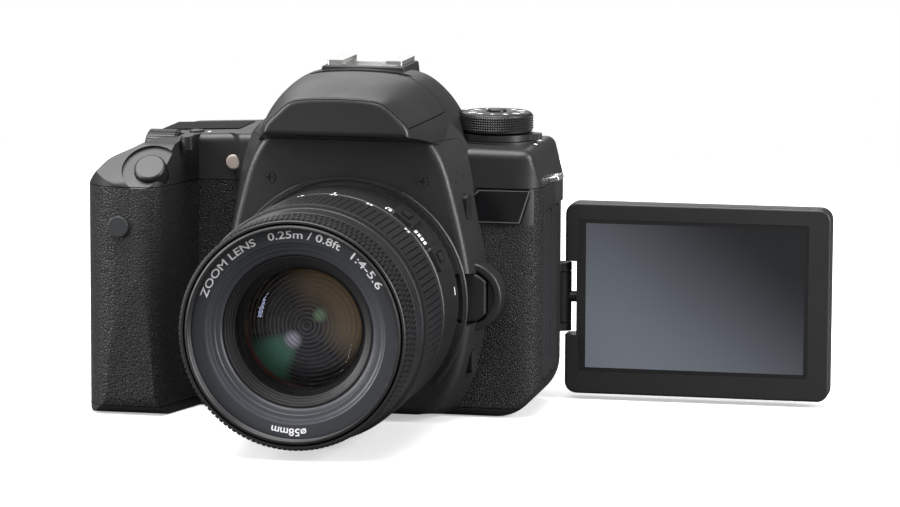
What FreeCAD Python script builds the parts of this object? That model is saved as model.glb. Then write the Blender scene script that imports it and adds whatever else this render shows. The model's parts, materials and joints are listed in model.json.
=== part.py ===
import FreeCAD, Part
import math
import os

# A mid-size digital reflex camera with a short zoom lens and a swing-out monitor.
#
# The frame, in millimetres: X runs from the hand grip (negative) to the monitor (positive), Y runs from the
# lens (negative) to the eyepiece (positive), and Z is up.  The origin is the mouth of the tripod socket, on
# the base, straight under the optical axis.  The camera is modelled as it stands on a table with the
# monitor swung out to the side and its screen turned to the front.

V = FreeCAD.Vector
os.makedirs("parts", exist_ok=True)

# ---- driving dimensions ---------------------------------------------------------------------------
BODY_LEFT, BODY_RIGHT = -78.0, 53.0      # grip side and terminal side: 131 mm wide
BODY_BACK = 24.0                         # rear wall
NOSE_FRONT = -44.0                       # front of the flash housing
EYECUP_BACK = 32.2                       # 76.2 mm behind the nose
SHOE_TOP = 99.9                          # top of the accessory shoe: 99.9 mm tall
HUMP_TOP = 97.0                          # top of the viewfinder hump
SHOULDER_LEFT, SHOULDER_RIGHT = 79.3, 76.5
FACE_RIGHT = -17.0                       # front wall beside the lens, terminal side
FACE_LEFT = -15.0                        # front wall in the finger channel
BRIDGE_FRONT = -30.0                     # plate that carries the lens mount
FLANGE = -34.0                           # lens seat, 44 mm before the image plane
LENS_Z = 34.5                            # optical axis above the base
WALL = 2.6                               # casing wall
SKIN = 1.2                               # rubber skin on the casing
SEAM = 0.12                              # half the gap at a casing seam
FIT = 0.3                                # air around a moving piece

LENS_FRONT = FLANGE - 61.8               # the lens is 61.8 mm long when it is short
LENS_R = 33.2                            # 66.5 mm across
FILTER_R = 28.6                          # wall of the 58 mm filter thread
ZOOM_TRAVEL = 12.0                       # how far the inner barrel runs out
TRIPOD_R = 2.6                           # tap size of the 1/4 inch socket

PANEL_W, PANEL_H, PANEL_T = 77.2, 56.0, 7.2
HINGE_X, HINGE_Y = 53.0, 22.4            # upright axis of the monitor hinge
PANEL_GAP = 1.2                          # from that axis to the monitor's near edge
PANEL_Z = 29.6                           # middle of the monitor
NOTCH_D, NOTCH_H = 3.4, 21.6             # recess in the monitor's edge for its hinge

DIAL_X, DIAL_Y, DIAL_R = 36.4, 5.0, 10.6  # mode dial
FLASH_PIVOT = (-11.5, 94.6)              # Y and Z of the flash hinge
FLASH_ARC = 32.3                         # radius of the seam in front of the flash head


# ---- shape helpers --------------------------------------------------------------------------------
def place(normal, u, v, w):
    """A point from two in-plane coordinates and one along the normal."""
    return {"x": V(w, u, v), "y": V(u, w, v), "z": V(u, v, w)}[normal]


def inset_corners(corners, inset):
    """Moves each side of a polygon inwards and returns the new corners with their radii."""
    count = len(corners)
    area = sum(corners[i][0] * corners[(i + 1) % count][1] - corners[(i + 1) % count][0] * corners[i][1]
               for i in range(count))
    side = 1.0 if area > 0 else -1.0
    lines = []
    for i in range(count):
        ax, ay = corners[i][:2]
        bx, by = corners[(i + 1) % count][:2]
        length = math.hypot(bx - ax, by - ay)
        nx, ny = -(by - ay) / length * side, (bx - ax) / length * side
        lines.append((nx, ny, nx * ax + ny * ay + inset))
    moved = []
    for i in range(count):
        (a, b, c), (d, e, f) = lines[i - 1], lines[i]
        det = a * e - b * d
        convex = det * side > 0
        radius = corners[i][2]
        if radius:
            radius = max(radius - inset, 0.4) if convex else radius + inset
        moved.append(((c * e - b * f) / det, (a * f - c * d) / det, radius))
    return moved


def outline(corners, normal, at, inset=0.0):
    """A face from (u, v, radius) corners, each rounded by a tangent arc."""
    if inset:
        corners = inset_corners(corners, inset)
    count = len(corners)
    ends = []
    for i in range(count):
        px, py, _ = corners[i - 1]
        cx, cy, radius = corners[i]
        nx, ny, _ = corners[(i + 1) % count]
        back, ahead = math.hypot(px - cx, py - cy), math.hypot(nx - cx, ny - cy)
        ub = ((px - cx) / back, (py - cy) / back)
        ua = ((nx - cx) / ahead, (ny - cy) / ahead)
        half = math.acos(max(-1.0, min(1.0, ub[0] * ua[0] + ub[1] * ua[1]))) / 2
        reach = min(radius / math.tan(half), 0.49 * back, 0.49 * ahead) if radius else 0.0
        real = reach * math.tan(half)
        start = (cx + ub[0] * reach, cy + ub[1] * reach)
        end = (cx + ua[0] * reach, cy + ua[1] * reach)
        bis = (ub[0] + ua[0], ub[1] + ua[1])
        size = math.hypot(*bis) or 1.0
        depth = real / math.sin(half) - real if radius else 0.0
        middle = (cx + bis[0] / size * depth, cy + bis[1] / size * depth)
        ends.append((start, middle, end, reach > 1e-6))
    edges = []
    for i in range(count):
        start, middle, end, is_round = ends[i]
        if is_round:
            arc = Part.Arc(*[place(normal, p[0], p[1], at) for p in (start, middle, end)])
            edges.append(arc.toShape())
        following = ends[(i + 1) % count][0]
        if math.dist(end, following) > 1e-6:
            edges.append(Part.makeLine(place(normal, *end, at), place(normal, *following, at)))
    return Part.Face(Part.Wire(edges))


def slab(corners, normal, low, high, inset=0.0):
    """The outline drawn out along its normal from low to high."""
    face = outline(corners, normal, low, inset)
    return face.extrude(place(normal, 0, 0, high) - place(normal, 0, 0, low))


def box(x0, x1, y0, y1, z0, z1):
    return Part.makeBox(x1 - x0, y1 - y0, z1 - z0, V(x0, y0, z0))


def rod(radius, start, end):
    """A round bar between two points."""
    start, end = V(*start), V(*end)
    return Part.makeCylinder(radius, (end - start).Length, start, end - start)


def tube(outer, inner, start, end):
    return rod(outer, start, end).cut(rod(inner, start, end))


def lens_tube(outer, inner, front, back):
    """A tube on the optical axis, from one Y to another."""
    return tube(outer, inner, (0, front, LENS_Z), (0, back, LENS_Z))


def turned(profile):
    """A solid turned about the optical axis from (radius, y) corners."""
    points = [V(r, y, LENS_Z) for r, y in profile]
    face = Part.Face(Part.makePolygon(points + points[:1]))
    return face.revolve(V(0, 0, LENS_Z), V(0, 1, 0), 360)


def joined(*shapes):
    first, *others = shapes
    return first.multiFuse(others).removeSplitter() if others else first


def softened(shape, radius, wanted=lambda edge: True):
    """Rounds the wanted edges, with a smaller radius where the full one doesn't fit."""
    edges = [e for e in shape.Edges if wanted(e)]
    for share in (1.0, 0.7, 0.45, 0.25):
        try:
            made = shape.makeFillet(radius * share, edges)
        except Exception:
            continue
        if made.isValid() and made.Volume > 0.5 * shape.Volume:
            return made
    print("edges left sharp:", len(edges))
    return shape


def export(name, shape):
    """Writes one sub-part and says what it is."""
    solids = shape.Solids
    good = all(s.isValid() and s.isClosed() for s in solids)
    Part.makeCompound(solids).exportStep(f"parts/{name}.step")
    print(f"{name}: {len(solids)} solids, {sum(s.Volume for s in solids):.0f} mm3{'' if good else '  NOT VALID'}")


# ---- the outer form of the casing ------------------------------------------------------------------
FRONT_OUTLINE = [(-78, 0, 7), (53, 0, 12.6), (53, 65.2, 5.4), (50.2, SHOULDER_RIGHT, 3), (26, 76.8, 0),
                 (-30, SHOULDER_LEFT, 0), (-57, 78.2, 10), (-68.5, 73.0, 9), (-76.6, 63.5, 7), (-78, 50, 0)]
CORE_PLAN = [(BODY_LEFT, BODY_BACK, 10), (BODY_LEFT, FACE_LEFT, 12), (-36, FACE_LEFT, 0),
             (-34, FACE_RIGHT, 0), (BODY_RIGHT, FACE_RIGHT, 6.9), (BODY_RIGHT, BODY_BACK, 2.8)]
GRIP_PLAN = [(-78, 6, 0), (-78, -12, 20), (-73.5, -37.6, 12), (-53.5, -39.2, 6.5), (-46.5, FACE_LEFT, 3),
             (-46.5, 6, 0)]
GRIP_SIDE = [(6, 0, 0), (-37.0, 0, 6), (-39.2, 48, 30), (-38.6, 66.3, 3.5), (-28.0, 77.0, 5),
             (-19, 79.4, 0), (6, 79.4, 0)]
BRIDGE_HALF = [(16.0, 83.0), (22.6, 80.6), (26.6, 74.9), (29.4, 67.0), (32.2, 56.7), (34.6, 46.0), (35.8, 35.6),
               (34.6, 24.0), (31.7, 12.7), (27.2, 5.6), (20.0, 2.2)]
BRIDGE_ROOT = [(16.0, 85.0), (27.0, 83.6), (32.0, 77.5), (34.4, 68.0), (36.2, 57.0), (37.8, 46.0), (38.7, 36.0),
               (37.4, 22.0), (34.4, 10.5), (30.0, 2.8), (20.0, 0.4)]
HUMP_ROWS = [  # distance back, then the arch from its foot to its crown as (half-width, height)
    (NOSE_FRONT, [(20.6, 82.4), (20.0, 85.0), (16.6, 88.6), (13.2, 91.5), (9.0, 92.5), (4.0, 92.8), (0.0, 92.9)]),
    (-30.0, [(25.0, 79.6), (24.0, 83.6), (20.8, 88.4), (16.6, 92.4), (11.6, 94.6), (5.5, 95.3), (0.0, 95.4)]),
    (-12.0, [(28.8, 76.0), (27.6, 81.5), (25.0, 87.2), (21.0, 92.2), (15.4, 96.0), (8.0, 97.4), (0.0, 97.7)]),
    (6.0, [(28.4, 75.6), (27.2, 80.5), (24.8, 86.2), (21.0, 91.2), (15.6, 95.2), (8.0, 96.8), (0.0, 97.2)]),
    (BODY_BACK + 1.0, [(25.5, 75.0), (24.4, 78.6), (21.8, 82.6), (18.0, 86.0), (13.0, 88.4), (7.0, 89.4),
                       (0.0, 89.7)])]


def mirrored(half):
    """A closed outline from its right half, listed from the top down."""
    return half + [(-u, v, radius) for u, v, radius in reversed(half)]


def core(inset=0.0):
    front = slab(FRONT_OUTLINE, "y", FACE_RIGHT - 3, BODY_BACK + 3, inset)
    plan = slab(CORE_PLAN, "z", -1, 82, inset)
    return front.common(plan)


def grip(inset=0.0):
    plan = slab(GRIP_PLAN, "z", -1, 82, inset)
    side = slab(GRIP_SIDE, "x", -79, -40, inset)
    front = slab(FRONT_OUTLINE, "y", -45, 10, inset)
    return plan.common(side).common(front)


def loft(sections, ruled=True):
    return Part.makeLoft([face.OuterWire for face in sections], True, ruled)


def spline(points, at):
    curve = Part.BSplineCurve()
    curve.interpolate([V(u, at, v) for u, v in points])
    return curve.toShape()


def flowing(half, at):
    """A closed section whose two sides are smooth curves, joined by straight lines."""
    left = [(-u, v) for u, v in half]
    ends = [V(half[0][0], at, half[0][1]), V(-half[0][0], at, half[0][1])]
    feet = [V(half[-1][0], at, half[-1][1]), V(-half[-1][0], at, half[-1][1])]
    sides = spline(half, at), spline(list(reversed(left)), at)
    return Part.Wire([sides[0], Part.makeLine(feet[0], feet[1]), sides[1], Part.makeLine(ends[1], ends[0])])


def bridge():
    """The raised front plate round the lens mount."""
    return Part.makeLoft([flowing(BRIDGE_HALF, BRIDGE_FRONT), flowing(BRIDGE_ROOT, FACE_RIGHT + 2)], True, True)


def hump():
    """The viewfinder hump with its flash housing jutting over the lens."""
    wires = []
    for y, half in HUMP_ROWS:
        arch = half[:-1] + [(0.0, half[-1][1])] + [(-u, v) for u, v in reversed(half[:-1])]
        feet = [V(-half[0][0], y, half[0][1]), V(half[0][0], y, half[0][1])]
        wires.append(Part.Wire([spline(arch, y), Part.makeLine(feet[0], feet[1])]))
    return Part.makeLoft(wires, True, False)


def hump_inside(depth):
    """The same form drawn in by a wall, from flat-sided sections."""
    made = []
    for y, half in HUMP_ROWS:
        shift = depth if y == NOSE_FRONT else (-depth if y > BODY_BACK else 0.0)
        made.append(outline(mirrored([(u, v, 0.0) for u, v in reversed(half[::2][:-1])]), "y", y + shift, depth))
    return loft(made)


def build_form():
    """The whole outer form as one solid, before it is hollowed and split."""
    grip_body = softened(grip(), 1.6, lambda e: e.BoundBox.ZMin > 60 and e.BoundBox.XMax < -47.5)
    bridge_body = softened(bridge(), 2.4, lambda e: e.BoundBox.YMax < BRIDGE_FRONT + 0.01)
    hump_body = softened(hump(), 1.5, lambda e: e.BoundBox.YMax < NOSE_FRONT + 0.01)
    core_body = softened(core(), 2.6, lambda e: e.BoundBox.YMax < FACE_RIGHT + 0.01
                         and e.BoundBox.XMax > 40 or e.BoundBox.YMin > BODY_BACK - 0.01)
    return core_body, grip_body, bridge_body, hump_body


CORE, GRIP, BRIDGE, HUMP = build_form()
FORM = joined(CORE, GRIP, BRIDGE, HUMP)
AXIS = (0, LENS_Z)


# ---- hollow, recesses and seams ---------------------------------------------------------------------
def build_hollow():
    """The space inside the casing, with the wall behind the monitor recess left standing."""
    inside = joined(core(WALL), grip(WALL), hump_inside(WALL), lens_tube(30.0, 27.4, BRIDGE_FRONT + 2.6, 0.0),
                    rod(27.4, (0, BRIDGE_FRONT + 2.6, LENS_Z), (0, 0, LENS_Z)))
    inside = joined(inside, box(-22.5, 22.5, -27.4, 2.0, 12.0, 76.0), box(-20, 20, -12.4, 21.0, 70.0, 80.0))
    inside = inside.cut(box(-28, 54, RECESS_FLOOR - 2.0, 30, -1, PANEL_Z + 30.5))
    return inside.cut(box(-40, 40, -45, -12.5, 77, 86.5))


RECESS_FLOOR = HINGE_Y - PANEL_T / 2 - 0.6
RECESS = box(HINGE_X - PANEL_GAP - PANEL_W - 0.6, 60, RECESS_FLOOR, 30,
             PANEL_Z - PANEL_H / 2 - 0.5, PANEL_Z + PANEL_H / 2 + 0.5)
SEAM_Z, SEAM_Y, BASE_Z = 65.6, 8.0, 2.6


def flash_seam(gap=0.0):
    """The space of the flash head: behind the front plate and above the side seams."""
    py, pz = FLASH_PIVOT
    sweep = rod(FLASH_ARC - gap, (-40, py, pz), (40, py, pz))
    above = slab([(-60, 83.4 + gap, 0), (py - 2.2 - gap, 86.6 + gap, 0), (py - 2.2 - gap, 110, 0),
                  (-60, 110, 0)], "x", -40, 40)
    return sweep.common(above)


def flash_knuckles(radius, gap=0.0):
    """Two hinge arms that reach back from the flash head to its pivot."""
    py, pz = FLASH_PIVOT
    arms = []
    for x in (-9.5, 9.5):
        eye = rod(radius, (x - 1.5 - gap, py, pz), (x + 1.5 + gap, py, pz))
        arms.append(eye.fuse(box(x - 1.5 - gap, x + 1.5 + gap, py - 4.5, py, pz - 1.4 - gap, pz + 1.4 + gap)))
    return joined(*arms)


def flash_roll():
    """The dip behind the flash head that its rear edge rolls through on the way up."""
    return box(-16.2, 16.2, -14.2, -13.3, 95.5, 99.4).fuse(box(-16.2, 16.2, -14.2, -10.7, 96.12, 99.4))


def eye_opening(grow=0.0):
    return slab([(-11 - grow, 70 - grow, 3), (11 + grow, 70 - grow, 3), (11 + grow, 83 + grow, 3),
                 (-11 - grow, 83 + grow, 3)], "y", 12, 40)


# ---- buttons: one list drives their pockets and their bodies ------------------------------------------
def button(position, direction, radius, rise, depth, gap=0.0):
    """A round push button whose cap stands above its position, pushed against the direction."""
    p, d = V(*position), V(*direction).normalize()
    return rod(radius + gap, p - d * (depth + (1.6 if gap else 0.0)), p + d * (rise + (8.0 if gap else 0.0)))


UP, BACK, SHUTTER_WAY = (0, 0, 1), (0, 1, 0), (0, -1, 1)
FLANK = (0.947, -0.32, 0)
BUTTONS = {  # position on the skin, direction it faces, radius, rise, depth
    "shutter_button": ((-55.8, -34.2, 70.7), SHUTTER_WAY, 4.5, 0.9, 3.4),
    "af_area_button": ((-47.5, -24.0, 78.4), UP, 1.9, 0.7, 3.2),
    "iso_button": ((-48.5, -9.5, 78.5), UP, 2.1, 0.7, 3.2),
    "menu_button": ((44.0, BODY_BACK, 70.5), BACK, 2.4, 0.8, 3.4),
    "info_button": ((36.5, BODY_BACK, 70.5), BACK, 2.4, 0.8, 3.4),
    "live_view_button": ((-34.5, BODY_BACK, 69.5), BACK, 2.6, 0.8, 3.4),
    "playback_button": ((-34.0, BODY_BACK, 47.0), BACK, 2.4, 0.8, 3.4),
}
QUICK_X, QUICK_Z, QUICK_R = -47.5, 26.0, 12.6


def capsule(radius, half, near, far):
    """An oval bar on the ridge beside the lens, facing out along its flank."""
    bar = joined(rod(radius, (near, 0, half), (far, 0, half)), rod(radius, (near, 0, -half), (far, 0, -half)),
                 box(near, far, -radius, radius, -half, half))
    bar.rotate(V(0, 0, 0), V(0, 0, 1), math.degrees(math.atan2(FLANK[1], FLANK[0])))
    return bar


def ridge_button(z, gap=0.0):
    at = {61.0: 33.3, 17.0: 35.0}[z]
    bar = capsule(1.5 + gap, 1.9, -3.0 - (1.4 if gap else 0), 0.7 + (6 if gap else 0))
    bar.translate(V(at, -23.0, z))
    return bar


def release_disc(radius, front, back):
    return rod(radius, (33.6, front, 35.5), (33.6, back, 35.5))


def release_button(gap=0.0):
    """The D-shaped lens release button beside the mount."""
    disc = release_disc(7.2 + gap, -25.4 - (5 if gap else 0), -19.4 + (3.4 if gap else 0))
    return disc.common(box(29.4 - gap, 39.2 + gap, -40, 0, 20, 60))


def main_wheel(gap=0.0):
    half = 4.6 + gap
    return rod(6.6 + gap, (-56.0 - half, -17.5, 73.4), (-56.0 + half, -17.5, 73.4))


SIDE_DOORS = {"terminal_door_front": (-9.0, 2.4), "terminal_door_rear": (3.4, 13.8)}


def side_door(name, gap=0.0):
    y0, y1 = SIDE_DOORS[name]
    door = slab([(y0 - gap, 10 - gap, 2), (y1 + gap, 10 - gap, 2), (y1 + gap, 58 + gap, 2),
                 (y0 - gap, 58 + gap, 2)], "x", 51.2 - (4 if gap else 0), BODY_RIGHT + (3 if gap else 0))
    return door


def card_door(gap=0.0):
    return slab([(-4.0 - gap, 16 - gap, 1), (13.0 + gap, 16 - gap, 1), (13.0 + gap, 50 + gap, 1),
                 (-4.0 - gap, 50 + gap, 1)], "x", BODY_LEFT - (3 if gap else 0), -76.4 + (3.5 if gap else 0))


def battery_door(gap=0.0):
    return slab([(-73.0 - gap, -30.0 - gap, 2), (-52.0 + gap, -30.0 - gap, 2), (-52.0 + gap, 5.6 + gap, 1),
                 (-73.0 - gap, 5.6 + gap, 1)], "z", 0.2 - (2 if gap else 0), 2.0 + (3 if gap else 0))


def info_plate(gap=0.0):
    """The top display window, lying along the sloping shoulder."""
    return slab([(-60.5 - gap, 76.6 - gap, 0), (-37.5 + gap, 77.5 - gap, 0), (-37.5 + gap, 79.3 + gap, 0),
                 (-60.5 - gap, 78.4 + gap, 0)], "y", -3.5 - gap, 15.5 + gap)


def badge(gap=0.0):
    return slab([(33.0 - gap, 55.8 - gap, 0.8), (47.6 + gap, 55.8 - gap, 0.8), (50.6 + gap, 65.4 + gap, 0.8),
                 (35.4, 65.4 + gap, 0.8), (33.0 - gap, 63.0, 0.8)], "y", FACE_RIGHT - 0.6 - gap, FACE_RIGHT + 1.2)


def screw_heads(radius, front, back):
    return joined(*[rod(radius, (x, front, 68.6), (x, back, 68.6)) for x in (-22.0, 22.0)])


LUGS = ((52.4, 66.2, 12.0), (-75.2, 66.6, 180 - 38.0))


def strap_lug(x, z, turn, gap=0.0):
    """A steel loop for the strap, standing out of a shoulder."""
    if gap:
        lug = box(-3.0, 0.6, -4.2 - gap, 4.2 + gap, -0.8 - gap, 0.8 + gap)
    else:
        lug = box(-2.6, 3.0, -4.2, 4.2, -0.8, 0.8).cut(box(0.6, 1.9, -2.9, 2.9, -2, 2))
        lug = softened(lug, 0.5)
    lug.rotate(V(0, 0, 0), V(0, 1, 0), -turn)
    lug.translate(V(x, 5.0, z))
    return lug


# ---- the casing --------------------------------------------------------------------------------------
def wraps(region, solids, inner):
    """A skin of even depth on the outer form, inside a region."""
    return joined(*solids).common(region).cut(joined(*inner))


def build_skins():
    """Grip, side and thumb rubber."""
    inner = [core(SKIN), grip(SKIN), BRIDGE]
    front = wraps(box(-80, -30, -45, -5.0, BASE_Z + 0.2, SEAM_Z - 0.3), [CORE, GRIP], inner)
    front = front.cut(rod(3.1, (-63.9, -50, 54.4), (-63.9, -20, 54.4)))
    side = wraps(joined(box(31, 55, -20, 7.6, BASE_Z + 0.4, 55.2), box(51.0, 55, -20, 7.6, 50, SEAM_Z - 0.3)),
                 [CORE], inner)
    side = side.cut(release_disc(10.2, -40, 0))
    for name in SIDE_DOORS:
        side = side.cut(side_door(name, FIT))
    pad = slab([(-72.0, 40, 4), (-38.5, 40, 4), (-40.5, 63.5, 5), (-70.0, 63.5, 7)], "y", BODY_BACK - 1.2, 26.6)
    pad = softened(pad, 1.1, lambda e: e.BoundBox.YMin > 26.5).common(box(-72.5, -30, 10, 30, 30, 65.2))
    return front, side, pad


GRIP_SKIN, SIDE_SKIN, THUMB_PAD = build_skins()
HOLLOW = build_hollow()


def build_shell():
    """The outer form hollowed out, with every opening and pocket cut and nothing split yet."""
    rim = softened(release_disc(10.0, -24.6, FACE_RIGHT + 1).cut(release_disc(7.6, -40, -23.2)), 0.8,
                   lambda e: e.BoundBox.YMax < -24.5)
    collar = rod(DIAL_R + 0.9, (DIAL_X, DIAL_Y, 75.0), (DIAL_X, DIAL_Y, 77.2))
    step = turned([(33.9, -29.4), (33.9, -30.6), (34.2, -30.9), (34.9, -30.9), (35.2, -30.6), (35.2, -29.4)])
    step = step.common(box(-40, 40, -40, -20, 11.6, 80))
    shoe_wall = slab([(-12.4, 95.0, 0), (12.4, 95.0, 0), (12.0, 98.5, 0.8), (-12.0, 98.5, 0.8)], "y", -8.4, 12.1)
    shell = FORM.fuse([rim, collar, step, softened(shoe_wall, 0.4, lambda e: e.BoundBox.ZMin > 98)])
    shell = shell.cut(HOLLOW).cut(RECESS)
    pins = [rod(2.6, (HINGE_X, HINGE_Y, a), (HINGE_X, HINGE_Y, b)).fuse(
        box(HINGE_X - 2.6, HINGE_X, RECESS_FLOOR - 0.4, HINGE_Y, a, b)) for a, b in ((19.6, 22.0), (37.2, 39.6))]
    shell = shell.fuse(pins).cut(rod(1.05, (HINGE_X, HINGE_Y, 18), (HINGE_X, HINGE_Y, 42)))
    cuts = [rod(27.3, (0, -60, LENS_Z), (0, 0, LENS_Z)), eye_opening(), screw_heads(1.6, -40, -29.0),
            release_button(FIT), main_wheel(FIT), card_door(FIT), battery_door(FIT), info_plate(0.1), badge(0.1),
            rod(2.2, (-36.3, -30, 70.8), (-36.3, -12, 70.8)), rod(3.0, (-63.9, -50, 54.4), (-63.9, -34, 54.4)),
            rod(DIAL_R + 0.4, (DIAL_X, DIAL_Y, 77.2), (DIAL_X, DIAL_Y, 99)),
            rod(4.0, (DIAL_X, DIAL_Y, 70), (DIAL_X, DIAL_Y, 80)),
            rod(QUICK_R + FIT, (QUICK_X, BODY_BACK - 1.6, QUICK_Z), (QUICK_X, 40, QUICK_Z)),
            rod(6.0, (QUICK_X, 18, QUICK_Z), (QUICK_X, 40, QUICK_Z)),
            rod(4.3, (0, 0, -1), (0, 0, 7)), box(-11.1, 11.1, -6.1, 12.1, 96.1, 105),
            rod(1.3, (22.3, 20, 79.5), (22.3, 30, 79.5)), GRIP_SKIN, SIDE_SKIN, THUMB_PAD]
    cuts += [button(*spec, gap=0.2) for spec in BUTTONS.values()]
    cuts += [ridge_button(z, 0.2) for z in (61.0, 17.0)] + [side_door(name, FIT) for name in SIDE_DOORS]
    cuts += [strap_lug(*spec, gap=0.02) for spec in LUGS]
    cuts.append(rod(8.2, (-55.8, -38.2, 74.7), (-55.8, -33.65, 70.15)))
    py, pz = FLASH_PIVOT
    cuts += [flash_seam(), flash_roll(), flash_knuckles(2.5, 0.3), rod(0.9, (-13, py, pz), (13, py, pz)),
             box(-12, 12, -40.5, -16, 81.6, 90)]
    shell = shell.cut(cuts)
    shell = shell.fuse(rod(0.88, (-13.5, py, pz), (13.5, py, pz)))
    return max(shell.Solids, key=lambda solid: solid.Volume)


SHELL = build_shell()


def build_covers():
    """Splits the shell at its seams into top, front, rear and base covers."""
    g = SEAM
    plate = box(-36, 36, -50, -17.2, 60, 79.6)
    lug_back = box(-90, 60, SEAM_Y + g, 40, BASE_Z + g, SEAM_Z - g)
    regions = {
        "base_cover": box(-90, 60, -60, 40, -2, BASE_Z - g),
        "rear_cover": lug_back,
        "front_cover": joined(box(-90, 60, -60, SEAM_Y - g, BASE_Z + g, SEAM_Z - g), plate),
        "top_cover": box(-90, 60, -60, 40, SEAM_Z + g, 110).cut(box(-36 - g, 36 + g, -50, -17.2 + g, 60, 79.6 + g)),
    }
    for name, region in regions.items():
        piece = SHELL.common(region)
        kept = [solid for solid in piece.Solids if solid.Volume > 60]
        export(name, Part.makeCompound(kept))


def build_trim():
    export("grip_rubber", GRIP_SKIN)
    export("side_rubber", SIDE_SKIN)
    export("thumb_rubber", THUMB_PAD)
    export("name_badge", badge())
    export("info_window", info_plate())
    heads = screw_heads(1.55, -30.2, -29.0).cut(joined(*[box(x - 1.0, x + 1.0, -31, -29.8, 68.4, 68.8).fuse(
        box(x - 0.2, x + 0.2, -31, -29.8, 67.6, 69.6)) for x in (-22.0, 22.0)]))
    export("cover_screws", heads)
    lamp = softened(rod(2.2, (-36.3, FACE_LEFT - 0.7, 70.8), (-36.3, -12.4, 70.8)), 0.6,
                    lambda e: e.BoundBox.YMax < -15.5)
    export("red_eye_lamp", lamp)
    export("remote_window", softened(rod(3.0, (-63.9, -39.4, 54.4), (-63.9, -36.5, 54.4)), 0.3,
                                     lambda e: e.BoundBox.YMax < -39))
    export("strap_lugs", Part.makeCompound([strap_lug(*spec) for spec in LUGS]))
    socket = rod(4.3, (0, 0, 0), (0, 0, 7)).cut(rod(TRIPOD_R, (0, 0, -1), (0, 0, 5.6)))
    export("tripod_bush", socket)
    shoe = box(-10.9, 10.9, -6.0, 12.0, 96.1, SHOE_TOP).cut(box(-9.3, 9.3, -8, 10.6, 96.9, 98.9))
    shoe = shoe.cut(box(-6.3, 6.3, -8, 14, 98.0, 101))
    shoe = softened(shoe, 0.5, lambda e: abs(e.Vertexes[0].Point.z - e.Vertexes[-1].Point.z) > 2)
    export("hot_shoe", shoe)


def build_inside():
    """Mirror box, viewfinder, image sensor, board, battery and mount ring."""
    mount = lens_tube(32.4, 27.0, FLANGE, BRIDGE_FRONT)
    tabs = lens_tube(27.0, 25.4, FLANGE + 0.3, FLANGE + 1.7).common(three_sectors(50.0, 27.5, 0.0))
    export("body_mount_ring", mount.fuse(tabs))
    chamber = box(-19.5, 19.5, -27.3, 4.0, 13.0, 57.4).cut(box(-18.0, 18.0, -30, 3.0, 14.5, 60))
    chamber = chamber.cut(box(-12.5, 12.5, 0, 10, 26.0, 43.0))
    export("mirror_box", chamber)
    screen = box(-17.9, 17.9, -24.0, 3.0, 57.4, 59.0)
    roof = slab([(-22.0, 59.0, 0), (3.0, 59.0, 0), (13.0, 68.0, 0), (13.0, 82.0, 0), (2.0, 91.0, 0),
                 (-8.0, 91.0, 0), (-22.0, 74.0, 0)], "x", -13.0, 13.0)
    export("prism_block", joined(screen, roof.cut(box(-14, 14, -45, -12.4, 74.0, 92))))
    export("eyepiece_window", joined(slab([(-11, 70, 3), (11, 70, 3), (11, 83, 3), (-11, 83, 3)], "y", 22.6, 24.4)))
    frame = box(-24, 24, 6.6, 9.6, 17, 53).cut(box(-11.4, 11.4, 6, 7.8, 27, 42))
    chip = box(-11.4, 11.4, 7.2, 7.8, 27, 42)
    export("sensor_unit", frame.fuse(chip))
    export("battery", softened(box(-71.5, -55.5, -29.0, 3.0, 3.4, 54.0), 1.2))


def three_sectors(span, radius, turn):
    """Three wedges round the optical axis, for bayonet tabs."""
    wedges = []
    for k in range(3):
        a, b = math.radians(turn + k * 120 - span / 2), math.radians(turn + k * 120 + span / 2)
        tips = [(0, 0), (2 * radius * math.cos(a), 2 * radius * math.sin(a)),
                (2 * radius * math.cos(b), 2 * radius * math.sin(b))]
        wedge = slab([(x, z + LENS_Z, 0) for x, z in tips], "y", -60, 0)
        wedges.append(wedge)
    return joined(*wedges)


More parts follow.
